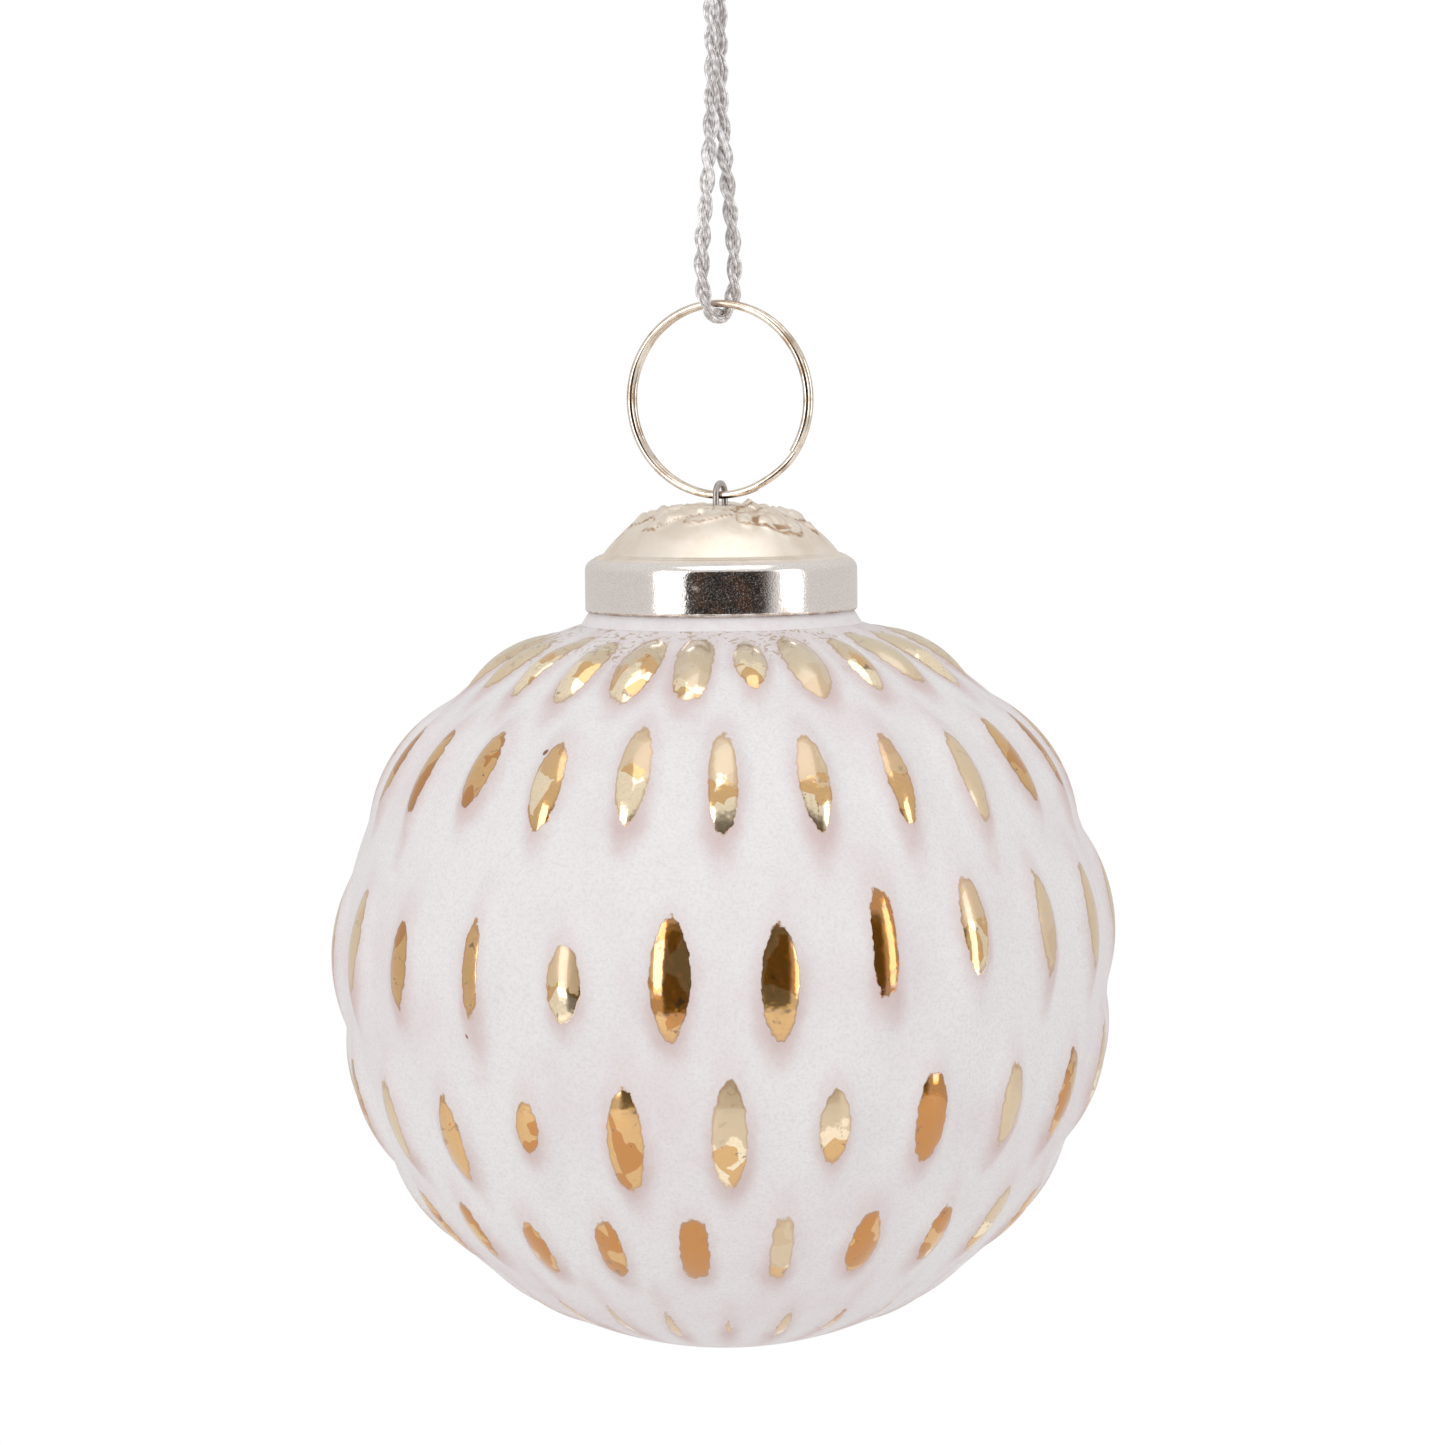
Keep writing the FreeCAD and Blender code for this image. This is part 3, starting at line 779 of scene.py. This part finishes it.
def cap_metal():
    """Pale gilt metal: mirror bright on the skirt, softer and tarnished on the dome."""
    s = Shader("gilt_nickel_cap")
    place = s.place()
    crease = s.attribute("crease")
    height = s.node("ShaderNodeSeparateXYZ")
    s.feed(height.inputs[0], place)
    ledge = CAP_LOW.z + LEDGE_RISE
    dome = s.ramp(height.outputs[2], ledge, ledge + 0.6 * MM)
    speck = s.noise(place, 5200, 2, 0.5)
    cloud = s.noise(place, 260, 3, 0.6)
    bright = s.mix(s.ramp(speck, 0.40, 0.72), (0.93, 0.885, 0.855), (0.80, 0.745, 0.70))
    warm = s.mix(s.ramp(cloud, 0.35, 0.7), (0.95, 0.875, 0.775), (0.86, 0.765, 0.65))
    metal = s.mix(dome, bright, warm)
    stain = s.noise(place, 620, 4, 0.65, 0.4)
    tarnish = s.math("MULTIPLY", s.ramp(s.math("MULTIPLY_ADD", stain, 1.5, crease), 0.95, 1.6), dome)
    skirt = s.math("SUBTRACT", 1.0, dome)
    grit = s.math("MULTIPLY", s.patches(place, 7000, 2, 0.5, 0.56, 0.64), skirt)
    foot = s.ramp(height.outputs[2], CAP_LOW.z + 0.42 * MM, CAP_LOW.z + 0.05 * MM)
    foot = s.math("MULTIPLY", foot, s.ramp(stain, 0.35, 0.6))
    blotch = s.math("MULTIPLY", s.patches(place, 210, 3, 0.5, 0.66, 0.72), 0.5)
    worn = s.math("MAXIMUM", s.math("MAXIMUM", tarnish, foot), blotch)
    s.set(
        Base_Color=s.mix(worn, metal, (0.42, 0.26, 0.15)),
        Metallic=s.math("MULTIPLY_ADD", grit, -0.24, s.ramp(worn, 0.0, 1.0, 1.0, 0.5)),
        Roughness=s.math(
            "MULTIPLY_ADD", worn, 0.25, s.blend(dome, s.ramp(speck, 0.3, 0.8, 0.05, 0.20), 0.44)
        ),
    )
    s.bump(s.math("MULTIPLY_ADD", speck, 0.5, s.math("MULTIPLY", cloud, 1.2)), 0.45, 0.05 * MM)
    return s.material


def wire_metal(name, bright, dull, roughness, scratch):
    """Drawn wire with fine marks and duller spots."""
    s = Shader(name)
    place = s.place()
    marks = s.noise(place, 3800, 3, 0.6)
    dullness = s.patches(place, 420, 3, 0.6, 0.42, 0.72)
    s.set(
        Base_Color=s.mix(dullness, bright, dull),
        Metallic=1.0,
        Roughness=s.math(
            "MULTIPLY_ADD", dullness, 0.16, s.ramp(marks, 0.3, 0.8, roughness, roughness + 0.1)
        ),
    )
    if scratch:
        s.bump(marks, scratch, 0.03 * MM)
    return s.material


def plaster():
    """Lumpy cement under the ball's own white paint."""
    s = Shader("painted_plaster")
    place = s.place()
    lumps = s.noise(place, 700, 4, 0.6)
    s.set(
        Base_Color=s.mix(s.ramp(lumps, 0.35, 0.75), PAINT, PAINT_WARM),
        Roughness=s.ramp(lumps, 0.2, 0.8, 0.7, 0.9),
    )
    s.bump(lumps, 0.6, 0.15 * MM)
    return s.material


def metallic_yarn():
    """Silver yarn with fine bright filaments that wind round it, and painted glints in bands along each
    yarn.
    """
    s = Shader("silver_yarn")
    place = s.place()
    shade, run = s.attribute("yarn_shade"), s.attribute("yarn_run")
    fine = s.noise(place, 5200, 3, 0.6)
    soiled = s.math("MULTIPLY", s.patches(place, 900, 2, 0.5, 0.58, 0.75), 0.4)
    # painted glints: bright bands along each yarn that lighten its colour
    glint = s.math("SINE", s.math("MULTIPLY_ADD", run, 5200, s.math("MULTIPLY", shade, 40)))
    light = s.math("MULTIPLY_ADD", shade, 0.25, s.math("MULTIPLY", glint, 0.10))
    light = s.math("ADD", s.math("MULTIPLY", fine, 0.7), light)
    colour = s.mix(s.ramp(light, 0.30, 0.70), (0.50, 0.47, 0.46), (1.0, 0.99, 1.0))
    colour = s.mix(soiled, colour, (0.42, 0.36, 0.33))
    s.set(
        Base_Color=colour,
        Metallic=s.ramp(fine, 0.45, 0.62, 0.25, 0.9),
        Roughness=s.ramp(fine, 0.3, 0.75, 0.5, 0.22),
    )
    s.bump(s.math("ADD", fine, s.math("MULTIPLY", glint, 0.3)), 0.7, 0.06 * MM)
    return s.material


def dress(piece, material):
    piece.data.materials.clear()
    piece.data.materials.append(material)


# ---------------------------------------------------------------- stage and light
def stage_material(name, colour):
    material = bpy.data.materials.new(name)
    material.use_nodes = True
    surface = material.node_tree.nodes["Principled BSDF"]
    surface.inputs["Base Color"].default_value = (*colour, 1)
    surface.inputs["Roughness"].default_value = 0.9
    surface.inputs["Specular IOR Level"].default_value = 0.1
    return material


def seen_from_ball(azimuth, elevation, distance):
    """A place at an azimuth from the camera's side and an elevation, as the ball sees it."""
    turn = CAMERA_AZIMUTH + math.radians(azimuth)
    rise = math.radians(elevation)
    flat = distance * math.cos(rise)
    height = distance * math.sin(rise)
    return BALL_CENTRE + Vector((math.sin(turn) * flat, -math.cos(turn) * flat, height))


def face_ball(piece):
    piece.rotation_mode = "QUATERNION"
    piece.rotation_quaternion = (BALL_CENTRE - piece.location).to_track_quat("-Z", "Y")


def softbox(name, azimuth, elevation, distance, width, height, power):
    light = bpy.data.lights.new(name, "AREA")
    light.shape = "RECTANGLE"
    light.size = width
    light.size_y = height
    light.energy = power
    lamp = bpy.data.objects.new(name, light)
    scene.collection.objects.link(lamp)
    lamp.location = seen_from_ball(azimuth, elevation, distance)
    face_ball(lamp)
    lamp.visible_camera = False


def card_material():
    """Dark, with a few warm lights in it and an uneven edge."""
    s = Shader("dark_studio")
    place = s.place()
    split = s.node("ShaderNodeSeparateXYZ")
    s.feed(split.inputs[0], place)
    wide, tall = (s.math("ABSOLUTE", split.outputs[axis]) for axis in (0, 1))
    banded = s.stretched(place, (1.0, 8.0, 1.0))
    cloud = s.noise(banded, 4, 4, 0.65)
    reach = s.math("MULTIPLY_ADD", cloud, 0.40, s.math("MAXIMUM", wide, tall))
    warm = s.patches(banded, 4, 2, 0.5, 0.60, 0.65, 1.0)
    s.set(
        Base_Color=s.mix(warm, (0.020, 0.019, 0.018), (0.34, 0.13, 0.04)),
        Roughness=0.9,
        Alpha=s.ramp(reach, 0.76, 0.56),
    )
    s.surface.inputs["Specular IOR Level"].default_value = 0.0
    return s.material


def dark_card(name, azimuth, elevation, distance, width, height):
    """A dark panel that only shows in bright metal and glass."""
    rest()
    bpy.ops.mesh.primitive_plane_add(size=1, location=seen_from_ball(azimuth, elevation, distance))
    card = bpy.context.object
    card.name = name
    card.scale = (width, height, 1)
    face_ball(card)
    dress(card, card_material())
    card.visible_camera = False
    card.visible_diffuse = False
    card.visible_shadow = False


def make_stage():
    rest()
    low = BALL_LOW.z - 260 * MM
    bpy.ops.mesh.primitive_circle_add(vertices=96, radius=0.9, fill_type="NGON", location=(0, 0, low))
    floor = bpy.context.object
    floor.name = "floor"
    dress(floor, stage_material("pale_floor", (0.94, 0.93, 0.92)))
    dark_card("studio_dark", 4, 6, 1.6, 2.7, 2.0)
    softbox("left_softbox", -44, 14, 1.3, 0.55, 1.1, 5.2)
    softbox("right_softbox", 62, 12, 1.3, 0.40, 1.1, 3.8)
    softbox("top_softbox", 10, 75, 1.2, 1.0, 0.7, 2.4)
    world = bpy.data.worlds.new("studio")
    world.use_nodes = True
    scene.world = world
    nodes, links = world.node_tree.nodes, world.node_tree.links
    nodes.clear()
    output = nodes.new("ShaderNodeOutputWorld")
    both = nodes.new("ShaderNodeMixShader")
    seen = nodes.new("ShaderNodeBackground")
    glow = nodes.new("ShaderNodeBackground")
    path = nodes.new("ShaderNodeLightPath")
    place = nodes.new("ShaderNodeTexCoord")
    split = nodes.new("ShaderNodeSeparateXYZ")
    ramp = nodes.new("ShaderNodeValToRGB")
    seen.inputs["Color"].default_value = (1, 1, 1, 1)
    seen.inputs["Strength"].default_value = 1.0
    shift = nodes.new("ShaderNodeMapRange")
    shift.inputs[1].default_value = -1
    links.new(place.outputs["Generated"], split.inputs[0])
    links.new(split.outputs[2], shift.inputs[0])
    links.new(shift.outputs[0], ramp.inputs[0])
    stops = ramp.color_ramp.elements
    stops[0].position, stops[0].color = 0.2, (1.0, 0.99, 0.98, 1)
    stops[1].position, stops[1].color = 0.95, (1.0, 0.99, 0.98, 1)
    middle = ramp.color_ramp.elements.new(0.5)
    middle.color = (0.86, 0.83, 0.81, 1)
    links.new(ramp.outputs[0], glow.inputs["Color"])
    glow.inputs["Strength"].default_value = 0.76
    links.new(path.outputs["Is Camera Ray"], both.inputs[0])
    links.new(glow.outputs[0], both.inputs[1])
    links.new(seen.outputs[0], both.inputs[2])
    links.new(both.outputs[0], output.inputs[0])
    scene.view_settings.view_transform = "Standard"


# ---------------------------------------------------------------- the ornament
make_camera()
rope, knot = make_cord()
ball = make_ball()
cap = make_cap()
ring = make_ring()

yarn = metallic_yarn()
dress(rope, yarn)
dress(knot, yarn)
dress(ball, painted_glass())
dress(cap, cap_metal())
dress(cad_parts["cap_cement"], plaster())
ring_metal = wire_metal("ring_metal", (0.84, 0.75, 0.64), (0.50, 0.38, 0.28), 0.12, 0)
eye_metal = wire_metal("eye_metal", (0.58, 0.55, 0.53), (0.36, 0.33, 0.31), 0.34, 0.6)
dress(ring, ring_metal)
dress(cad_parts["wire_eye"], eye_metal)
make_stage()
